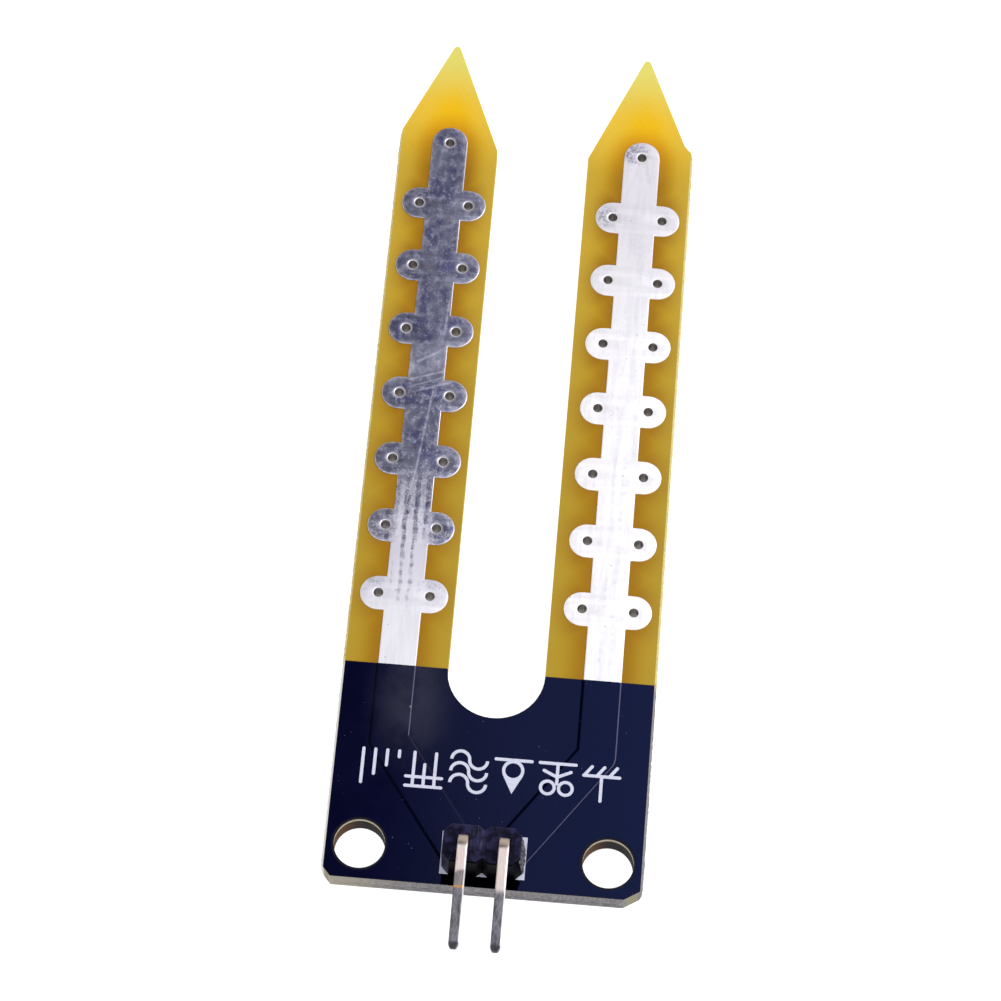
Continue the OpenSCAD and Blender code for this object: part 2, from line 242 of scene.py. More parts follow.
class Finish:
    """A procedural material, with the surface position in millimetres at hand."""

    def __init__(self, name, metallic=0.0, specular=0.5):
        self.material = bpy.data.materials.new(name)
        self.material.use_nodes = True
        self.tree = self.material.node_tree
        self.bsdf = self.tree.nodes["Principled BSDF"]
        self.bsdf.inputs["Metallic"].default_value = metallic
        self.bsdf.inputs["Specular IOR Level"].default_value = specular
        coords = self.tree.nodes.new("ShaderNodeTexCoord")
        scaled = self.tree.nodes.new("ShaderNodeVectorMath")
        scaled.operation = "SCALE"
        scaled.inputs["Scale"].default_value = 1 / MM
        self.tree.links.new(coords.outputs["Object"], scaled.inputs[0])
        self.position = scaled.outputs[0]
        self.x, self.y, self.z = self.split(self.position)
        geometry = self.tree.nodes.new("ShaderNodeNewGeometry")
        self.normal_x, self.normal_y, self.normal_z = self.split(geometry.outputs["True Normal"])

    def split(self, vector):
        """The three parts of a vector as fields."""
        node = self.tree.nodes.new("ShaderNodeSeparateXYZ")
        self.tree.links.new(vector, node.inputs[0])
        return [Field(self.tree, socket) for socket in node.outputs]

    def stretched(self, scale, shift=(0, 0, 0)):
        """The position with each axis scaled, which sets how fine a pattern is along it."""
        node = self.tree.nodes.new("ShaderNodeVectorMath")
        node.operation = "MULTIPLY_ADD"
        self.tree.links.new(self.position, node.inputs[0])
        node.inputs[1].default_value = scale
        node.inputs[2].default_value = shift
        return node.outputs[0]

    def noise(self, scale, detail=2.0, roughness=0.5, shift=(0, 0, 0)):
        """Noise from 0 to 1. Scale gives the cells per millimetre along each axis."""
        node = self.tree.nodes.new("ShaderNodeTexNoise")
        self.tree.links.new(self.stretched(scale, shift), node.inputs["Vector"])
        node.inputs["Scale"].default_value = 1.0
        node.inputs["Detail"].default_value = detail
        node.inputs["Roughness"].default_value = roughness
        return Field(self.tree, node.outputs["Fac"])

    def specks(self, per_mm, radius, shift=(0, 0, 0)):
        """Scattered round specks: 1 inside a speck, and 0 outside. Radius is a share of a cell."""
        node = self.tree.nodes.new("ShaderNodeTexVoronoi")
        self.tree.links.new(self.stretched((per_mm,) * 3, shift), node.inputs["Vector"])
        node.inputs["Scale"].default_value = 1.0
        return Field(self.tree, node.outputs["Distance"]).ramp(radius, radius * 0.6)

    def mix(self, factor, first, second):
        """The first colour where the factor is 0, and the second where it is 1."""
        node = self.tree.nodes.new("ShaderNodeMix")
        node.data_type = "RGBA"
        plug(self.tree, node.inputs["Factor"], factor)
        plug(self.tree, node.inputs[6], first)
        plug(self.tree, node.inputs[7], second)
        return node.outputs[2]

    def scratch(self, start, end, half_width):
        """1 along a thin, slightly broken scratch between two places on the board."""
        run = Vector(end) - Vector(start)
        dx = self.x - start[0]
        dy = self.y - start[1]
        along = (dx * run.x + dy * run.y) / run.length_squared
        along = along.high(0.0).low(1.0)
        away = length(dx - along * run.x, dy - along * run.y)
        broken = self.noise((1.5, 1.5, 1.5), 3, 0.7, shift=(*start, 0)).ramp(0.2, 0.6)
        return away.ramp(half_width, half_width * 0.3) * broken

    def colour(self, value):
        plug(self.tree, self.bsdf.inputs["Base Color"], value)

    def roughness(self, value):
        plug(self.tree, self.bsdf.inputs["Roughness"], value)

    def metallic(self, value):
        plug(self.tree, self.bsdf.inputs["Metallic"], value)

    def reflection(self, tint, level=None):
        """The tint of the clear reflection, and its level where that varies."""
        plug(self.tree, self.bsdf.inputs["Specular Tint"], tint)
        if level is not None:
            plug(self.tree, self.bsdf.inputs["Specular IOR Level"], level)

    def bump(self, height, strength=1.0):
        """Relief from a field of heights in millimetres."""
        node = self.tree.nodes.new("ShaderNodeBump")
        node.inputs["Strength"].default_value = strength
        node.inputs["Distance"].default_value = MM
        plug(self.tree, node.inputs["Height"], height)
        self.tree.links.new(node.outputs["Normal"], self.bsdf.inputs["Normal"])

    # Distances to the parts of the board, in millimetres, negative inside

    def from_strip(self):
        """Signed distance from the middle of the nearer electrode, towards the board's edge."""
        return self.x.size() - ELECTRODE_X

    def above_bar(self):
        """Height above the middle of the nearest cross bar."""
        step = ((self.y - FIRST_BAR) / BAR_PITCH).math("ROUND").high(0.0).low(BAR_COUNT - 1.0)
        return self.y - (step * BAR_PITCH + FIRST_BAR)

    def electrode_distance(self):
        """Distance outside the outline of the nearer electrode."""
        across = self.from_strip()
        strip = length(across, (self.y - TOP_VIA).high(0.0)) - STRIP_HALF
        bars = length((across.size() - SIDE_VIA_X).high(0.0), self.above_bar()) - BAR_HALF
        return strip.low(bars)

    def via_distance(self):
        """Distance outside the wall of the nearest plated hole."""
        across = self.from_strip()
        top = length(across, self.y - TOP_VIA)
        side = length(across.size() - SIDE_VIA_X, self.above_bar())
        return top.low(side) - VIA_R

    def outline_depth(self):
        """How far inside the board's outline a place lies."""
        side = HALF_W - self.x.size()
        slot = length(self.x - SLOT_X, (self.y - SLOT_CENTRE_Y).low(0.0)) - SLOT_R
        depth = side.low(slot)
        for shoulder, outward in ((OUTER_SHOULDER, 1), (INNER_SHOULDER, -1)):
            run = Vector((TIP_X - shoulder[0], TIP_Y - shoulder[1])).normalized()
            normal = Vector((run.y, -run.x)) * -outward
            flank = (self.x.size() - TIP_X) * normal.x + (self.y - TIP_Y) * normal.y
            depth = depth.low(flank)
        return depth

    def trace_distance(self):
        """Distance to the masked trace that runs down from the strip and in to the header."""
        dx = self.from_strip()
        dy = self.y - KNEE_Y
        straight = length(dx, (dy * -1.0).high(0.0))
        run = Vector((PIN_X - ELECTRODE_X, HEADER_Y - KNEE_Y))
        along = ((dx * run.x + dy * run.y) / run.length_squared).high(0.0).low(1.0)
        slant = length(dx - along * run.x, dy - along * run.y)
        return straight.low(slant) - STRIP_HALF

    def from_trace_middle(self):
        """How far to the right of its trace's middle a place lies."""
        fall = ((KNEE_Y - self.y) / (KNEE_Y - HEADER_Y)).high(0.0).low(1.0)
        middle = ELECTRODE_X - fall * (ELECTRODE_X - PIN_X)
        return self.x - self.x.math("SIGN") * middle

    def hole_distance(self):
        """Distance outside the wall of the nearer mounting hole."""
        return length(self.x.size() - HOLE_X, self.y) - HOLE_R


# ---- materials ----

def laminate_face(f, mottle, weave):
    """Yellow glass seen through its thickness, with painted shade near the copper and painted light at
    the outline and towards the point.
    """
    rise = f.y.ramp(22.0, 51.0)
    tip = f.y.ramp(48.5, 54.0)
    body = f.mix(tip, f.mix(rise, srgb(166, 132, 22), srgb(184, 144, 22)), srgb(226, 178, 4))
    shaded = f.mix(tip, f.mix(rise, srgb(150, 104, 4), srgb(144, 98, 2)), srgb(216, 152, 0))
    pale = f.mix(tip, f.mix(rise, srgb(174, 148, 52), srgb(190, 158, 52)), srgb(220, 184, 62))
    # painted shade: darker near the copper, which blocks the light through the glass
    painted_copper_shade = f.electrode_distance().ramp(1.7, -0.1) * (mottle * 0.5 + 0.7)
    colour = f.mix(painted_copper_shade.low(1.0), body, shaded)
    # painted light: paler near the outline and towards the point, where light enters through the edges
    rim = f.outline_depth().ramp(1.9, 0.0) * (rise * 0.35 + 0.5)
    colour = f.mix(rim, colour, pale)
    point = f.y.ramp(53.5, 58.6) * 0.95
    colour = f.mix(point, colour, srgb(214, 208, 108))
    colour = f.mix(weave * 0.025 + mottle * 0.08, colour, srgb(128, 96, 26))
    # a dark skin of mask covers the base, and is thinner right at the mounting holes
    skin = f.mix(f.hole_distance().ramp(0.02, 0.05), srgb(22, 20, 26), srgb(8, 8, 28))
    return f.mix(f.y.ramp(MASK_EDGE + 0.02, MASK_EDGE - 0.02), colour, skin)


def laminate_edges(f, fibres):
    """Cut edges show the plies, snapped ones are torn, and the mounting holes are brown inside."""
    above_mask = f.y.ramp(MASK_EDGE - 0.5, MASK_EDGE + 0.5)
    coarse = fibres.ramp(0.3, 0.7)
    plies = wave(f.z, PLY_T, shape="SINE") * 0.5 + 0.5
    routed = f.mix(above_mask, srgb(140, 134, 112), srgb(204, 180, 96))
    routed_dark = f.mix(above_mask, srgb(104, 98, 80), srgb(160, 136, 62))
    routed = f.mix(plies * 0.4 + fibres * 0.4, routed, routed_dark)
    # snapped edges: grey with streaks along the base, and pale on the prongs; towards the left they are
    # painted warmer and paler as painted light, palest on the left side wall
    base = f.mix(coarse, srgb(132, 130, 132), srgb(104, 101, 104))
    base = f.mix(edge_streaks(f), base, srgb(70, 67, 74))
    base = f.mix(f.x.ramp(-4.0, -9.5) * 0.6, base, srgb(160, 152, 132))
    base = f.mix(f.x.ramp(-9.8, -9.86), base, srgb(200, 198, 194))
    prongs = f.mix(coarse, srgb(206, 192, 132), srgb(160, 144, 84))
    on_side = f.x.size().ramp(HALF_W - 0.3, HALF_W - 0.2)
    on_bottom = f.y.ramp(BOARD_LOW.y + 0.3, BOARD_LOW.y + 0.2)
    walls = f.mix(on_side.high(on_bottom), routed, f.mix(above_mask, base, prongs))
    # painted shade: the drilled walls are painted darker towards their right side, below a pale lip
    from_hole = f.x - f.x.math("SIGN") * HOLE_X
    bore_with_painted_shade = f.mix(from_hole.ramp(-1.4, 0.2), srgb(104, 68, 14), srgb(18, 8, 12))
    bore_with_painted_shade = f.mix(plies * 0.3 + fibres * 0.3, bore_with_painted_shade, srgb(20, 10, 8))
    bore_with_painted_shade = f.mix(f.z.ramp(BOARD_T - 0.36, BOARD_T - 0.2), bore_with_painted_shade, srgb(196, 186, 164))
    return f.mix(f.hole_distance().ramp(0.12, 0.04), walls, bore_with_painted_shade)


def edge_streaks(f):
    """Dark streaks that run along a snapped edge, mostly in its lower half."""
    low_half = f.z.ramp(1.1, 0.6)
    return f.noise((1.4, 1.4, 8.0), 3, 0.65).ramp(0.5, 0.66) * (low_half * 0.6 + 0.3)


def laminate():
    """Translucent yellow glass laminate, with woven glass just under its surface."""
    f = Finish("laminate", specular=0.22)
    mottle = f.noise((0.5, 0.3, 0.5), 3, 0.55)
    fibres = f.noise((7.0, 7.0, 2.0), 3, 0.7)
    weave = wave(f.x, WEAVE_ACROSS, shape="SINE") * wave(f.y, WEAVE_ALONG, shape="SINE") * 0.5 + 0.5
    on_edge = f.normal_z.size().ramp(0.75, 0.6)
    f.colour(f.mix(on_edge, laminate_face(f, mottle, weave), laminate_edges(f, fibres)))
    f.roughness(f.noise((1.2, 1.2, 1.2), 3).ramp(0.2, 0.9) * 0.12 + 0.36 + on_edge * 0.35)
    f.bump(weave * 0.0012 + fibres * on_edge * 0.03 + mottle * 0.004)
    return f.material


# Scratches on the front tin: start, end and half width in millimetres
SCRATCHES = (
    ((-5.5, 38.6), (-5.7, 35.4), 0.1),
    ((-6.0, 34.7), (-7.2, 34.0), 0.14),
    ((-4.8, 33.6), (-7.6, 32.6), 0.1),
    ((-5.2, 33.0), (-7.5, 32.1), 0.08),
    ((-4.9, 32.6), (-7.6, 31.6), 0.12),
    ((-6.0, 31.9), (-6.62, 25.9), 0.1),
    ((-6.62, 25.9), (-7.4, 21.2), 0.08),
    ((6.1, 47.0), (6.4, 44.2), 0.03),
    ((6.9, 33.2), (6.5, 28.9), 0.03),
)


def dotted_streaks(f, cloud, speck, seed):
    """Dotted streaks left by the wiping, in broken rows along the strip."""
    across = f.from_strip()
    rows = wave(across, 0.66, cloud * 5.0).ramp(-0.5, 0.9)
    dots = wave(f.y, 0.62, cloud * 7.0 + speck * 5.0).ramp(-0.6, 0.8)
    broken = f.noise((1.3, 0.4, 1.3), 2, 0.5, (7, seed, 3)).ramp(0.38, 0.58)
    streaks = rows * (dots * 0.45 + 0.55) * (broken * 0.85 + 0.35) - 0.36
    return streaks * across.size().ramp(1.1, 0.8)


def tarnished(f, cloud, mottle, seed):
    """The colour of dull tin: blue-grey clouds, pale mottling and crisp flecks."""
    light = srgb(186, 186, 212)
    colour = f.mix(cloud.ramp(0.4, 0.65), srgb(146, 146, 174), srgb(102, 103, 144))
    colour = f.mix(mottle.ramp(0.44, 0.72) * 0.6, colour, light)
    along_edge = f.electrode_distance().ramp(-0.45, -0.05) * mottle.ramp(0.35, 0.55)
    colour = f.mix(along_edge * 0.5, colour, light)
    # flecks are denser towards the wiped end
    denser = f.y.ramp(27.5, 25.0) * 0.045
    fleck = (f.noise((9.0, 7.0, 9.0), 3, 0.75, (seed, 2, 8)) + denser).ramp(0.53, 0.6)
    fleck = fleck * (mottle + denser).ramp(0.46, 0.58)
    return f.mix(fleck * (f.y.ramp(34.0, 28.0) * 0.35 + 0.5), colour, srgb(220, 219, 234))


def scratches(f):
    """1 on the scratches, and 0 elsewhere."""
    marks = None
    for start, end, half_width in SCRATCHES:
        line = f.scratch(start, end, half_width)
        marks = line if marks is None else marks.high(line)
    return marks


def tin(name, clean, dull, streaks, seed):
    """Tin levelled by hot air. Functions give its clean colour, its dull places and its streaks."""
    f = Finish(name)
    shift = (seed * 7.3, seed * 3.1, seed)
    clean = clean(f)
    cloud = f.noise((0.9, 0.6, 0.9), 4, 0.6, shift)
    speck = f.noise((6.0, 4.5, 6.0), 4, 0.8, shift)
    mottle = f.noise((2.3, 1.8, 2.3), 4, 0.7, (seed, 5, 2))
    streaked = dotted_streaks(f, cloud, speck, seed) * streaks(f)
    amount = (dull(f, cloud, speck) + streaked).high(0.0).low(1.0)
    # clean tin keeps faint wiping marks along the strip
    wiping = f.noise((2.8, 0.3, 2.8), 3, 0.6, shift)
    wiped = f.mix(wiping.ramp(0.42, 0.68) * 0.2, clean, srgb(196, 193, 206))
    colour = f.mix(amount, wiped, tarnished(f, cloud, mottle, seed))
    dark_specks = f.specks(1.3, 0.09, shift) * speck.ramp(0.4, 0.6) * 0.6
    colour = f.mix(dark_specks, colour, srgb(110, 106, 120))
    marks = scratches(f)
    colour = f.mix(marks * 0.34, colour, srgb(222, 224, 242))
    # painted highlight: the raised rims round the plated holes are painted in the clean tin all round,
    # and the rims along the edges mostly where they face right
    via_rim = f.via_distance().ramp(0.2, 0.1)
    rims = f.via_distance().ramp(0.22, 0.08).high(f.electrode_distance().ramp(-0.16, -0.07))
    right_side = f.normal_x.ramp(-0.2, 0.5)
    painted_rim_highlight = (rims * (right_side * 0.85 + 0.12)).high(via_rim * 0.85)
    f.colour(f.mix(painted_rim_highlight, colour, clean))
    worn = amount * (1.0 - mottle.ramp(0.46, 0.7) * 0.4)
    f.metallic(0.62 + worn * 0.38)
    f.roughness(0.5 - amount * 0.2 + cloud * 0.1 + marks * 0.1)
    f.bump(cloud * 0.01 + speck * 0.004 - marks * 0.002)
    return f.material


def clean_left(f):
    """Clean tin on the left electrode: lighter at its lower end."""
    return f.mix(f.y.ramp(14.5, 21.0), srgb(236, 234, 242), srgb(214, 211, 224))


def clean_right(f):
    """Clean tin on the right electrode: a little greyer towards the tip."""
    return f.mix(f.y.ramp(33.0, 47.0), srgb(252, 250, 255), srgb(228, 225, 233))


def clean_back(f):
    """Clean tin on the back, much like the right electrode's front."""
    return f.mix(f.y.ramp(12.0, 48.0), srgb(244, 242, 248), srgb(222, 220, 230))


def dull_left(f, cloud, speck):
    """The left electrode is tarnished but for its lower end and a scuffed patch higher up."""
    lobes = (f.x.size() - ELECTRODE_X).size().ramp(1.1, 1.6)
    scuffed = (f.y - f.x * 0.35 - 36.4).size().ramp(1.7, 0.3) * cloud.ramp(0.3, 0.6)
    tarnish = (f.y + cloud * 6.0 + speck * 9.0 + lobes * 3.2).ramp(26.5, 33.0)
    return tarnish - scuffed * (speck * 0.6 + 0.1)


def dull_right(f, cloud, speck):
    """The right electrode is clean but for grey smudges by its two topmost holes."""
    by_top = length(f.x - (ELECTRODE_X - 0.5), f.y - (TOP_VIA + 0.4)).ramp(1.3, 0.5)
    lobe_x = ELECTRODE_X - SIDE_VIA_X - 0.4
    by_lobe = length(f.x - lobe_x, f.y - (TOP_VIA - BAR_PITCH)).ramp(1.1, 0.3)
    smudges = by_top.high(by_lobe) * speck.ramp(0.4, 0.6) * 0.8
    return smudges.high((cloud + speck).ramp(0.95, 1.25) * 0.1)


def dull_back(f, cloud, speck):
    """The back is clouded in places."""
    return (cloud + speck * 0.6).ramp(0.7, 1.0) * 0.5


def streaks_left(f):
    """The left electrode's streaks lie where its tarnish ends."""
    return f.y.ramp(28.0, 23.5) * f.y.ramp(14.5, 20.5) * 1.05


def streaks_right(f):
    """The right electrode has only a trace of streaks, more of it low down."""
    return f.y.ramp(44.0, 24.0) * 0.08 + 0.04


def streaks_back(f):
    """Faint streaks on the back, more of them low down."""
    return f.y.ramp(40.0, 20.0) * 0.2


def painted_header_shadow(f):
    """Mask of a painted shadow: 1 on the strip of mask in front of the header, which gets no light, and
    0 elsewhere.
    """
    across = f.x.ramp(BODY_LOW.x, BODY_LOW.x + 0.08) * f.x.ramp(BODY_HIGH.x - 0.2, BODY_HIGH.x - 0.28)
    return across * f.y.ramp(BODY_LOW.y + 0.2, BODY_LOW.y) * f.z.ramp(BOARD_T - 0.1, BOARD_T)


def solder_mask():
    """Glossy blue-black mask with a draped edge along each trace, a little dust and a painted shadow in
    front of the header.
    """
    f = Finish("solder_mask", specular=0.9)
    f.bsdf.inputs["IOR"].default_value = 1.8
    over = f.trace_distance()
    # each trace falls off gently on its left and more steeply on its right
    right = f.from_trace_middle().ramp(-0.1, 0.1)
    on_trace = over.ramp(0.15, -0.07) * (1.0 - right) + over.ramp(0.05, -0.05) * right
    cloud = f.noise((0.35, 0.3, 0.35), 3, 0.5)
    haze = length(f.x + 5.4, (f.y - 9.8) * 0.5).ramp(4.2, 0.4)
    haze = haze * (cloud.ramp(0.25, 0.6) * 0.6 + 0.4)
    wall = f.normal_z.size().ramp(0.7, 0.4)
    dust = f.specks(0.62, 0.045) * f.noise((0.4, 0.4, 0.4), 1).ramp(0.5, 0.62)
    fine_dust = f.specks(2.3, 0.07, (4, 9, 2))
    fine_dust = fine_dust * f.noise((0.6, 0.6, 0.6), 1, 0.5, (5, 1, 7)).ramp(0.5, 0.7)
    dust = dust.high(fine_dust * 0.3)
    shade = painted_header_shadow(f)
    colour = f.mix(on_trace * 0.5, srgb(3, 4, 20), srgb(4, 5, 25))
    colour = f.mix(haze * haze * 0.8, colour, srgb(48, 48, 56))
    colour = f.mix(wall, colour, srgb(30, 24, 38))
    colour = f.mix(dust, colour, srgb(196, 200, 214))
    # painted shadow: the mask in front of the header is painted black
    f.colour(f.mix(shade, colour, srgb(0, 0, 2)))
    # the reflection takes the mask's blue, and is painted deepest and dimmest on the left as painted
    # shade
    left_tint = f.mix(cloud.ramp(0.35, 0.65), (0.04, 0.05, 0.4, 1), (0.08, 0.09, 0.54, 1))
    tint = f.mix(f.x.ramp(-7.2, -2.2), left_tint, (0.13, 0.17, 0.58, 1))
    tint = f.mix(f.x.ramp(0.0, 7.0), tint, (0.09, 0.13, 0.46, 1))
    tint = f.mix(over.size().ramp(0.06, 0.02) * right, tint, (0.16, 0.15, 0.26, 1))
    tint = f.mix(wall, tint, (0.12, 0.1, 0.13, 1))
    # painted shadow: the reflection is turned down in front of the header
    f.reflection(f.mix(shade, tint, (0.01, 0.01, 0.03, 1)))
    f.roughness(0.025 + cloud * 0.03 + dust * 0.5)
    peel = f.noise((2.6, 2.6, 2.6), 2, 0.5)
    f.bump(on_trace * 0.02 + peel * 0.001 + dust * 0.02)
    return f.material


def white_ink():
    """Screen-printed ink: grainy and a little patchy."""
    f = Finish("white_ink", specular=0.4)
    grain = f.noise((9.0, 9.0, 9.0), 3, 0.7)
    patchy = f.noise((1.6, 1.6, 1.6), 2, 0.5)
    colour = f.mix(grain.ramp(0.35, 0.75) * 0.35, srgb(204, 206, 224), srgb(150, 154, 180))
    colour = f.mix(patchy.ramp(0.62, 0.8) * 0.35, colour, srgb(140, 144, 170))
    f.colour(colour)
    f.roughness(0.45 + grain * 0.2)
    f.bump(grain * 0.006)
    return f.material


def header_plastic():
    """Moulded black plastic, scuffed on its top near the notch, with painted shade on its front and a
    painted highlight on its front left corner.
    """
    f = Finish("header_plastic", specular=0.12)
    grain = f.noise((5.0, 5.0, 5.0), 4, 0.65)
    blotch = f.noise((1.4, 1.4, 1.4), 3, 0.6)
    top = f.z.ramp(BODY_HIGH.z - 0.5, BODY_HIGH.z - 0.05)
    near_notch = (f.x + 0.42).size().ramp(0.6, 0.2) * f.y.ramp(BODY_LOW.y + 0.6, BODY_LOW.y + 1.4)
    scuffed = f.noise((9.0, 0.8, 0.8), 3, 0.7).ramp(0.5, 0.7) * near_notch * top
    colour = f.mix(grain.ramp(0.4, 0.8) * 0.5, srgb(10, 9, 22), srgb(32, 30, 54))
    colour = f.mix(blotch.ramp(0.42, 0.62) * top * 0.8, colour, srgb(44, 42, 74))
    colour = f.mix(scuffed * 0.75, colour, srgb(96, 98, 128))
    # painted highlight: the front left corner face is the one part of the front that catches light
    cut_corner = f.normal_x.ramp(-0.4, -0.6) * f.normal_y.ramp(-0.4, -0.6)
    cut_corner = cut_corner * f.x.ramp(BODY_LOW.x + 0.9, BODY_LOW.x + 0.6)
    colour = f.mix(cut_corner * 0.8, colour, srgb(34, 34, 46))
    # painted shade: the rest of the front is painted black, with its reflection turned down
    front = f.normal_y.ramp(-0.25, -0.6) * (1.0 - cut_corner)
    f.colour(f.mix(front, colour, srgb(0, 0, 1)))
    f.reflection((0.6, 0.6, 1.0, 1.0), level=0.12 - front * 0.1)
    f.roughness(0.3 + grain * 0.25 + scuffed * 0.1)
    f.bump(grain * 0.035 + scuffed * -0.015)
    return f.material


def torn_plastic():
    """The pale, rough face where the header was broken off its stick."""
    f = Finish("torn_plastic", specular=0.3)
    grain = f.noise((6.0, 9.0, 4.0), 4, 0.75)
    f.colour(f.mix(grain.ramp(0.42, 0.6), srgb(14, 13, 24), srgb(116, 114, 122)))
    f.roughness(0.7 + grain * 0.2)
    f.bump(grain * 0.05)
    return f.material


def pin_metal():
    """Drawn brass pin under thin tin: warm near the bend and greyer towards the free end."""
    f = Finish("pin_metal", metallic=0.62)
    drawn = f.noise((16.0, 0.7, 16.0), 3, 0.7)
    stain = f.noise((2.2, 1.1, 2.2), 3, 0.6)
    worn = f.noise((5.0, 1.6, 5.0), 4, 0.7)
    left_pin = f.x.ramp(0.0, -0.5)
    line_y = BOARD_LOW.y - 1.25
    warm = f.mix(drawn.ramp(0.3, 0.7), srgb(255, 240, 236), srgb(236, 218, 216))
    smoked = left_pin * (f.y + worn * 0.7 - f.x * 0.3).ramp(line_y + 1.95, line_y + 1.65)
    warm = f.mix(smoked * (drawn.ramp(0.3, 0.7) * 0.3 + 0.6), warm, srgb(92, 88, 98))
    cool = f.mix(worn.ramp(0.3, 0.7), srgb(140, 138, 147), srgb(78, 76, 86))
    beyond_board = f.y.ramp(BOARD_LOW.y - 1.1, BOARD_LOW.y - 1.6)
    colour = f.mix(beyond_board, warm, cool)
    # the outside of the bend is brown, with a darker crease across it
    bend = f.y.ramp(HEADER_Y - 0.75, HEADER_Y - 0.45)
    crease = (f.y - (HEADER_Y - 0.52)).size().ramp(0.16, 0.04)
    colour = f.mix(bend * 0.9, colour, f.mix(crease, srgb(158, 140, 126), srgb(112, 100, 92)))
    colour = f.mix(stain.ramp(0.6, 0.75) * 0.4, colour, srgb(112, 96, 84))
    orange_line = (f.y - line_y).size().ramp(0.11, 0.04) * left_pin
    colour = f.mix(orange_line * 0.85, colour, srgb(214, 158, 88))
    # painted highlight on the right flanks and painted shade on the left flanks; the tips are painted
    # dark
    painted_flank_highlight = f.normal_x.ramp(0.3, 0.6) * f.y.ramp(HEADER_Y - 0.3, HEADER_Y - 0.6)
    colour = f.mix(painted_flank_highlight, colour, srgb(255, 246, 248))
    colour = f.mix(f.normal_x.ramp(-0.3, -0.6) * 0.6, colour, srgb(70, 66, 74))
    tip = f.y.ramp(PIN_LOW.y + 0.5, PIN_LOW.y + 0.25)
    f.colour(f.mix(tip * 0.85, colour, srgb(40, 36, 42)))
    f.roughness(0.28 + drawn * 0.14 + beyond_board * 0.12)
    f.bump(drawn * 0.006 + stain * 0.004)
    return f.material


def solder():
    """Solder that froze with soft ripples and a frosted skin."""
    f = Finish("solder", metallic=1.0)
    ripple = f.noise((2.4, 2.4, 1.2), 3, 0.55)
    frost = f.noise((12.0, 12.0, 12.0), 2, 0.6)
    f.colour(f.mix(ripple.ramp(0.4, 0.7) * 0.5, srgb(214, 214, 220), srgb(158, 158, 168)))
    f.roughness(0.18 + ripple * 0.16 + frost * 0.08)
    f.bump(ripple * 0.03 + frost * 0.002)
    return f.material


def hole_plating():
    """Dull tin on the walls of the plated holes."""
    f = Finish("hole_plating", metallic=0.8)
    grain = f.noise((7.0, 7.0, 3.0), 3, 0.6)
    f.colour(f.mix(grain, srgb(176, 172, 168), srgb(118, 112, 108)))
    f.roughness(0.42 + grain * 0.2)
    f.bump(grain * 0.01)
    return f.material


def copper():
    """Bare copper foil, which shows only at the edges of the layers."""
    f = Finish("copper", metallic=1.0)
    grain = f.noise((5.0, 5.0, 5.0), 3, 0.6)
    f.colour(f.mix(grain, srgb(204, 132, 84), srgb(164, 98, 62)))
    f.roughness(0.36 + grain * 0.2)
    f.bump(grain * 0.004)
    return f.material


def torn_fibres():
    """The torn middle of a snapped edge: grey glass ends with resin between them."""
    f = Finish("torn_fibres", specular=0.3)
    bundles = f.noise((3.4, 3.4, 5.0), 4, 0.75)
    fine = f.noise((14.0, 14.0, 6.0), 2, 0.6)
    grey = f.mix(bundles.ramp(0.35, 0.65), srgb(86, 83, 89), srgb(120, 117, 120))
    grey = f.mix(edge_streaks(f), grey, srgb(62, 59, 66))
    # painted light: towards the left the fibres are painted warmer and paler, palest on the left side
    # wall
    grey = f.mix(f.x.ramp(-4.0, -9.5) * 0.6, grey, srgb(156, 148, 128))
    grey = f.mix(f.x.ramp(-9.9, -9.98) * 0.8, grey, srgb(214, 212, 208))
    pale = f.mix(bundles.ramp(0.35, 0.65), srgb(196, 184, 132), srgb(222, 212, 170))
    colour = f.mix(f.y.ramp(MASK_EDGE - 1.0, MASK_EDGE + 1.0), grey, pale)
    colour = f.mix(fine.ramp(0.6, 0.75) * 0.4, colour, srgb(196, 194, 190))
    f.colour(colour)
    f.roughness(0.75 + fine * 0.15)
    f.bump(fine * 0.02 + bundles * 0.03)
    return f.material


# ---- pieces ----

def add_piece(name, mesh, material, slot, *nodes):
    """Links a finished mesh as a piece of the object that may stand for CAD nodes."""
    piece = bpy.data.objects.new(name, mesh)
    bpy.context.scene.collection.objects.link(piece)
    mesh.materials.clear()
    mesh.materials.append(material)
    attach(piece, "root")
    if nodes:
        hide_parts(*nodes)
    return piece


def keep_flats_flat(piece):
    """Lets the large flat faces set the shading, so that only the rims look round."""
    modifier = piece.modifiers.new("flats", "WEIGHTED_NORMAL")
    modifier.weight = 100
    modifier.keep_sharp = True


def arc(centre, radius, start, end, steps):
    """Points of an arc, angles in degrees."""
    angles = [math.radians(start + (end - start) * i / steps) for i in range(steps + 1)]
    return [(centre[0] + radius * math.cos(a), centre[1] + radius * math.sin(a)) for a in angles]


def round_rimmed_curve(name, outlines, depth, extrude, steps):
    """A filled flat curve whose outlines are swollen by depth into round rims."""
    curve = bpy.data.curves.new(name, "CURVE")
    curve.dimensions = "2D"
    curve.fill_mode = "BOTH"
    curve.bevel_depth = depth * MM
    curve.bevel_resolution = steps
    curve.extrude = extrude * MM
    for points in outlines:
        spline = curve.splines.new("POLY")
        spline.points.add(len(points) - 1)
        for point, (x, y) in zip(spline.points, points):
            point.co = (x * MM, y * MM, 0, 1)
        spline.use_cyclic_u = True
    return curve


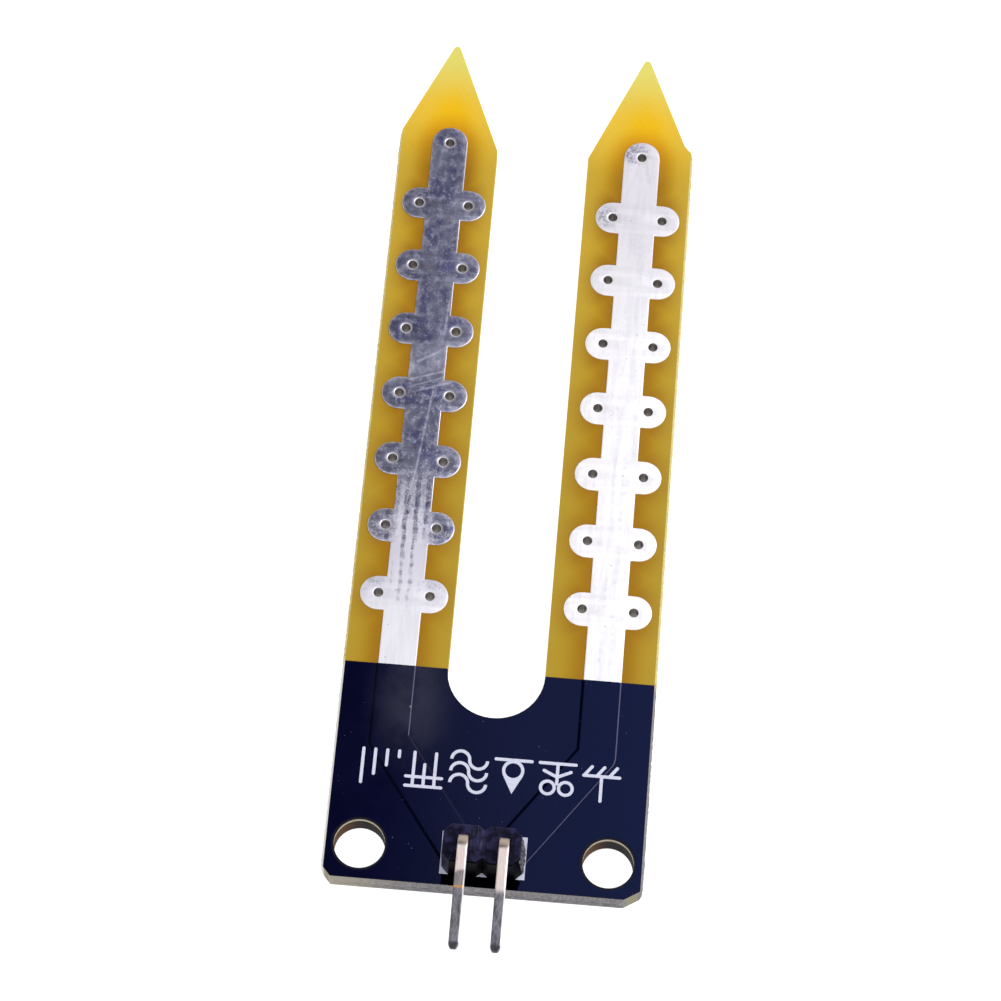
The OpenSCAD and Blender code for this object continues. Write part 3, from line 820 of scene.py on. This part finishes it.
def plate(name, outlines, z_middle, depth, extrude=0.0, flat_below=None, steps=3):
    """Mesh of a flat plate with holes and round rims, from outlines drawn inside the rims."""
    curve = round_rimmed_curve(name, outlines, depth, extrude, steps)
    holder = bpy.data.objects.new(name + "_curve", curve)
    bpy.context.scene.collection.objects.link(holder)
    bpy.context.view_layer.update()
    evaluated = holder.evaluated_get(bpy.context.evaluated_depsgraph_get())
    mesh = bpy.data.meshes.new_from_object(evaluated)
    bpy.data.objects.remove(holder)
    bpy.data.curves.remove(curve)
    mesh.transform(Matrix.Translation((0, 0, z_middle * MM)))
    if flat_below is not None:
        for vertex in mesh.vertices:
            vertex.co.z = max(vertex.co.z, flat_below * MM)
    shape = bmesh.new()
    shape.from_mesh(mesh)
    bmesh.ops.remove_doubles(shape, verts=shape.verts, dist=1e-7)
    bmesh.ops.recalc_face_normals(shape, faces=shape.faces)
    shape.to_mesh(mesh)
    shape.free()
    mesh.name = name
    for face in mesh.polygons:
        face.use_smooth = True
    mesh.set_sharp_from_angle(angle=math.radians(35))
    return mesh


def electrode_outline(side, inset):
    """One electrode, moved in by inset on every side but the lower, which runs under the mask."""
    strip = STRIP_HALF + TIN_T - inset
    bar = BAR_HALF + TIN_T - inset
    bottom = MASK_EDGE - 0.02
    right = [(strip, bottom)]
    for i in range(BAR_COUNT):
        y = FIRST_BAR + i * BAR_PITCH
        right += [(strip, y - bar)]
        right += arc((SIDE_VIA_X, y), bar, -90, 90, 20)
        right += [(strip, y + bar)]
    top = arc((0, TOP_VIA), strip, 0, 180, 28)
    left = [(-x, y) for x, y in reversed(right)]
    return [(side * ELECTRODE_X + x, y) for x, y in right + top + left]


def via_places(side):
    """Centres of one electrode's plated holes."""
    places = [(side * ELECTRODE_X, TOP_VIA)]
    for i in range(BAR_COUNT):
        for s in (-1, 1):
            places.append((side * ELECTRODE_X + s * SIDE_VIA_X, FIRST_BAR + i * BAR_PITCH))
    return places


def tin_mesh(name, side):
    """The tin coat on the front of one electrode, open at its plated holes."""
    outlines = [electrode_outline(side, RIM)]
    for place in via_places(side):
        outlines.append(arc(place, VIA_R + RIM, 0, 360 * 31 / 32, 31))
    return plate(name, outlines, BOARD_T, TIN_TOP - BOARD_T, flat_below=BOARD_T)


def mirrored_to_back(mesh):
    """Moves a mesh made for the board's front to its back."""
    mesh.transform(Matrix.Translation((0, 0, BOARD_T * MM)) @ Matrix.Scale(-1, 4, (0, 0, 1)))
    mesh.flip_normals()
    return mesh


def body_outline():
    """Plan of the header's two moulded halves, moved in by the round rim."""
    x_end = BODY_HIGH.x - BODY_RIM
    y_low = BODY_LOW.y + BODY_RIM
    y_high = BODY_HIGH.y - BODY_RIM
    notch_half = BODY_CUT + BODY_RIM * 0.2
    notch_depth = BODY_CUT - BODY_RIM * 0.4
    lower = [(-x_end, y_low + BODY_CUT), (-x_end + BODY_CUT, y_low), (-notch_half, y_low),
             (0, y_low + notch_depth),
             (notch_half, y_low), (x_end - BODY_CUT, y_low), (x_end, y_low + BODY_CUT)]
    upper = [(x, y_low + y_high - y) for x, y in reversed(lower)]
    return lower + upper


def square_outline(x, y, half):
    """Corners of a square about x, y."""
    return [(x - half, y - half), (x + half, y - half), (x + half, y + half), (x - half, y + half)]


def housing_mesh():
    """The header's body with a socket for each pin, leaning in at its broken right end."""
    socket_half = PIN_HALF + BODY_RIM + 0.01
    sockets = [square_outline(side * PIN_X, HEADER_Y, socket_half) for side in (-1, 1)]
    height = BODY_H + BODY_RIM
    mesh = plate("header_body", [body_outline()] + sockets, BODY_HIGH.z - height / 2, BODY_RIM,
                 extrude=height / 2 - BODY_RIM, flat_below=BODY_LOW.z, steps=4)
    broken_end = PIN_X + PIN_HALF + BODY_RIM + 0.1
    for vertex in mesh.vertices:
        if vertex.co.x / MM > broken_end:
            share = (vertex.co.z / MM - BODY_LOW.z) / BODY_H
            vertex.co.x -= TORN_LEAN * share * MM
    return mesh


def rough_patch(name, origin, across, up, out, columns, rows, lift, seed):
    """A closed, torn patch on a flat face: a grid pushed out by noise and pinned at its rim."""
    shape = bmesh.new()
    origin, across, up, out = (Vector(v) for v in (origin, across, up, out))
    outer, inner = [], []
    for i in range(columns + 1):
        outer_row, inner_row = [], []
        for j in range(rows + 1):
            place = origin + across * (i / columns) + up * (j / rows)
            rim = min(i, columns - i, 1.5) / 1.5 * min(j, rows - j, 1.5) / 1.5
            sample = Vector((seed, 0, 0)) + place * 3.1
            rise = 0.5 + 0.9 * noise.noise(sample) + 0.5 * noise.noise(sample * 2.7)
            outer_row.append(shape.verts.new((place + out * lift * max(rise, 0.05) * rim) * MM))
            inner_row.append(shape.verts.new((place - out * 0.06) * MM))
        outer.append(outer_row)
        inner.append(inner_row)
    for i in range(columns):
        for j in range(rows):
            shape.faces.new((outer[i][j], outer[i + 1][j], outer[i + 1][j + 1], outer[i][j + 1]))
            shape.faces.new((inner[i][j + 1], inner[i + 1][j + 1], inner[i + 1][j], inner[i][j]))
    for i in range(columns):
        for j in (0, rows):
            shape.faces.new((outer[i][j], inner[i][j], inner[i + 1][j], outer[i + 1][j]))
    for j in range(rows):
        for i in (0, columns):
            shape.faces.new((outer[i][j], inner[i][j], inner[i][j + 1], outer[i][j + 1]))
    bmesh.ops.recalc_face_normals(shape, faces=shape.faces)
    mesh = bpy.data.meshes.new(name)
    shape.to_mesh(mesh)
    shape.free()
    return mesh


def solder_mesh(name, side):
    """A hollow-sided cone of solder, wetted up the pin's tail on the back face."""
    pad_r = 0.85
    neck_r = 0.4
    height = 0.95
    rings = 14
    turns = 40
    shape = bmesh.new()
    base = Vector((side * PIN_X, HEADER_Y, -0.05))
    rows = []
    for i in range(rings + 1):
        t = i / rings
        radius = neck_r + (pad_r - neck_r) * (1 - t) ** 2.2
        row = []
        for k in range(turns):
            angle = 2 * math.pi * k / turns
            spread = Vector((math.cos(angle), math.sin(angle), 0))
            sample = spread * 1.3 + Vector((side * 5, 0, t))
            wobble = 1 + 0.2 * t * (1 - t) * noise.noise(sample)
            place = base + spread * radius * wobble - Vector((0, 0, height * t))
            row.append(shape.verts.new(place * MM))
        rows.append(row)
    for low_row, high_row in zip(rows, rows[1:]):
        for k in range(turns):
            after = (k + 1) % turns
            shape.faces.new((low_row[k], high_row[k], high_row[after], low_row[after]))
    shape.faces.new(rows[0])
    shape.faces.new(rows[-1][::-1])
    bmesh.ops.recalc_face_normals(shape, faces=shape.faces)
    mesh = bpy.data.meshes.new(name)
    shape.to_mesh(mesh)
    shape.free()
    for face in mesh.polygons:
        face.use_smooth = len(face.vertices) == 4
    return mesh


def round_edges(node, width, segments=3):
    """Rounds a CAD node's sharp edges with modifiers, and leaves its mesh alone."""
    piece = frame["nodes"][node]
    weld = piece.modifiers.new("weld", "WELD")
    weld.merge_threshold = 1e-7
    flat = piece.modifiers.new("flat", "DECIMATE")
    flat.decimate_type = "DISSOLVE"
    flat.angle_limit = math.radians(1)
    bevel = piece.modifiers.new("bevel", "BEVEL")
    bevel.width = width * MM
    bevel.segments = segments
    bevel.limit_method = "ANGLE"
    bevel.angle_limit = math.radians(40)
    bevel.use_clamp_overlap = True


def paint(material, *nodes):
    """Gives CAD nodes a material."""
    for node in nodes:
        piece = frame["nodes"][node]
        piece.data.materials.clear()
        piece.data.materials.append(material)


def paint_nodes():
    """Finishes the CAD nodes that stay in view."""
    paint(laminate(), "substrate")
    paint(copper(), "left_copper_front", "right_copper_front", "left_copper_back", "right_copper_back")
    paint(hole_plating(), "left_vias", "right_vias", "left_header_barrel", "right_header_barrel")
    paint(solder_mask(), "mask_front", "mask_back")
    paint(white_ink(), "printed_symbols", "printed_header_block")
    paint(pin_metal(), "left_pin", "right_pin")
    for pin in ("left_pin", "right_pin"):
        round_edges(pin, width=0.09)


def add_electrodes():
    """Tin coats with round rims on both faces, and a solder cone on each back pad."""
    left_tin = tin("tin_tarnished", clean_left, dull_left, streaks_left, seed=1)
    right_tin = tin("tin_bright", clean_right, dull_right, streaks_right, seed=2)
    back_tin = tin("tin_back", clean_back, dull_back, streaks_back, seed=3)
    solder_metal = solder()
    for side, word, front_tin, slot in ((-1, "left", left_tin, "tin_tarnished"),
                                        (1, "right", right_tin, "tin_bright")):
        name = word + "_electrode_front"
        front = add_piece(name, tin_mesh(name, side), front_tin, slot, word + "_tin_front")
        keep_flats_flat(front)
        name = word + "_electrode_back"
        mesh = mirrored_to_back(tin_mesh(name, side))
        back = add_piece(name, mesh, back_tin, "tin_bright", word + "_tin_back")
        keep_flats_flat(back)
        name = word + "_solder_cone"
        add_piece(name, solder_mesh(name, side), solder_metal, "solder", word + "_solder_joint")


def add_header():
    """The header's body, and the rough face where it was broken off its stick."""
    body = add_piece("header_body", housing_mesh(), header_plastic(), "header_plastic", "header_housing")
    keep_flats_flat(body)
    start = (BODY_HIGH.x, BODY_LOW.y + BODY_CUT, BODY_LOW.z + 0.12)
    across = (0, BODY_HIGH.y - BODY_LOW.y - 2 * BODY_CUT, 0)
    up = (-TORN_LEAN, 0, BODY_H - 0.3)
    mesh = rough_patch("header_torn_end", start, across, up, out=(1, 0, 0),
                       columns=22, rows=28, lift=0.09, seed=3.0)
    add_piece("header_torn_end", mesh, torn_plastic(), "header_plastic")


def add_snapped_edges():
    """Torn glass along the outer edges and the bottom edge, between their scored grooves."""
    fibres = torn_fibres()
    up = (0, 0, BOARD_T - 2 * SCORE_DEPTH)
    low_end = BOARD_LOW.y + SNAPPED_UP
    along = (0, SNAPPED_TOP - low_end, 0)
    for side, word in ((-1, "left"), (1, "right")):
        name = word + "_snapped_edge"
        start = (side * HALF_W, low_end, SCORE_DEPTH)
        mesh = rough_patch(name, start, along, up, out=(side, 0, 0),
                           columns=420, rows=7, lift=0.05, seed=side * HALF_W)
        add_piece(name, mesh, fibres, "laminate")
    start = (-HALF_W + 0.8, BOARD_LOW.y, SCORE_DEPTH)
    along = (2 * HALF_W - 2.2, 0, 0)
    mesh = rough_patch("bottom_snapped_edge", start, along, up, out=(0, -1, 0),
                       columns=160, rows=7, lift=0.05, seed=7.0)
    add_piece("bottom_snapped_edge", mesh, fibres, "laminate")


# ---- stage ----

def floor():
    """A plain pale floor, lit a little from within so that shadows stay faint."""
    half = 2.0
    z = cad_low.z - 0.00002
    corners = [(-half, -half, z), (half, -half, z), (half, half, z), (-half, half, z)]
    mesh = bpy.data.meshes.new("floor")
    mesh.from_pydata(corners, [], [(0, 1, 2, 3)])
    piece = bpy.data.objects.new("floor", mesh)
    bpy.context.scene.collection.objects.link(piece)
    material = bpy.data.materials.new("floor")
    material.use_nodes = True
    bsdf = material.node_tree.nodes["Principled BSDF"]
    bsdf.inputs["Base Color"].default_value = (0.5, 0.5, 0.5, 1)
    bsdf.inputs["Roughness"].default_value = 1.0
    bsdf.inputs["Specular IOR Level"].default_value = 0.0
    bsdf.inputs["Emission Color"].default_value = (1, 1, 1, 1)
    bsdf.inputs["Emission Strength"].default_value = FLOOR_GLOW
    mesh.materials.append(material)


def world():
    """Soft white studio all round, with a dim patch where the board mirrors the ceiling."""
    scene = bpy.context.scene
    scene.world = bpy.data.worlds.new("studio")
    scene.world.use_nodes = True
    tree = scene.world.node_tree
    background = tree.nodes["Background"]
    coords = tree.nodes.new("ShaderNodeTexCoord")
    parts = tree.nodes.new("ShaderNodeSeparateXYZ")
    tree.links.new(coords.outputs["Generated"], parts.inputs[0])
    x, y, z = (Field(tree, socket) for socket in parts.outputs)
    middle = Vector(DIM_TOWARDS).normalized()
    facing = x * middle.x + y * middle.y + z * middle.z
    patch = facing.ramp(math.cos(math.radians(DIM_OUTER)), math.cos(math.radians(DIM_INNER)))
    # the patch is darkest on its left
    dim = (x.ramp(-0.07, 0.04) * 0.5 + 0.15) * (1.0 - x.ramp(-0.09, -0.16))
    plug(tree, background.inputs["Strength"], (1.0 - patch) * STUDIO_LIGHT + patch * dim)
    background.inputs["Color"].default_value = (1, 1, 1, 1)


def lamp(name, place, size, power):
    """A soft square lamp that faces the board's middle."""
    data = bpy.data.lights.new(name, "AREA")
    data.size = size
    data.energy = power
    piece = bpy.data.objects.new(name, data)
    bpy.context.scene.collection.objects.link(piece)
    centre = (cad_low + cad_high) / 2
    piece.location = centre + Vector(place)
    piece.rotation_mode = "QUATERNION"
    piece.rotation_quaternion = (centre - piece.location).to_track_quat("-Z", "Y")


def camera():
    """The photo's viewpoint: straight at the front, then turned by tilt, swing and roll."""
    data = bpy.data.cameras.new("camera")
    data.lens = LENS
    data.sensor_width = SENSOR
    data.clip_start = 0.01
    data.clip_end = 10
    piece = bpy.data.objects.new("camera", data)
    bpy.context.scene.collection.objects.link(piece)
    swing = Matrix.Rotation(math.radians(VIEW_SWING), 4, "Z")
    tilt = Matrix.Rotation(math.radians(VIEW_TILT), 4, "X")
    roll = Matrix.Rotation(math.radians(VIEW_ROLL), 4, "Z")
    turn = swing @ tilt @ roll
    aim = (cad_low + cad_high) / 2 + Vector(VIEW_AIM) * MM
    back = turn @ Vector((0, 0, 1))
    piece.matrix_world = Matrix.Translation(aim + back * VIEW_DISTANCE * MM) @ turn
    bpy.context.scene.camera = piece


paint_nodes()
add_electrodes()
add_header()
add_snapped_edges()
floor()
world()
lamp("key", place=(0.35, 0.1, 0.45), size=0.35, power=1.6)
camera()
bpy.context.scene.view_settings.view_transform = "Standard"
bpy.context.scene.view_settings.look = "None"
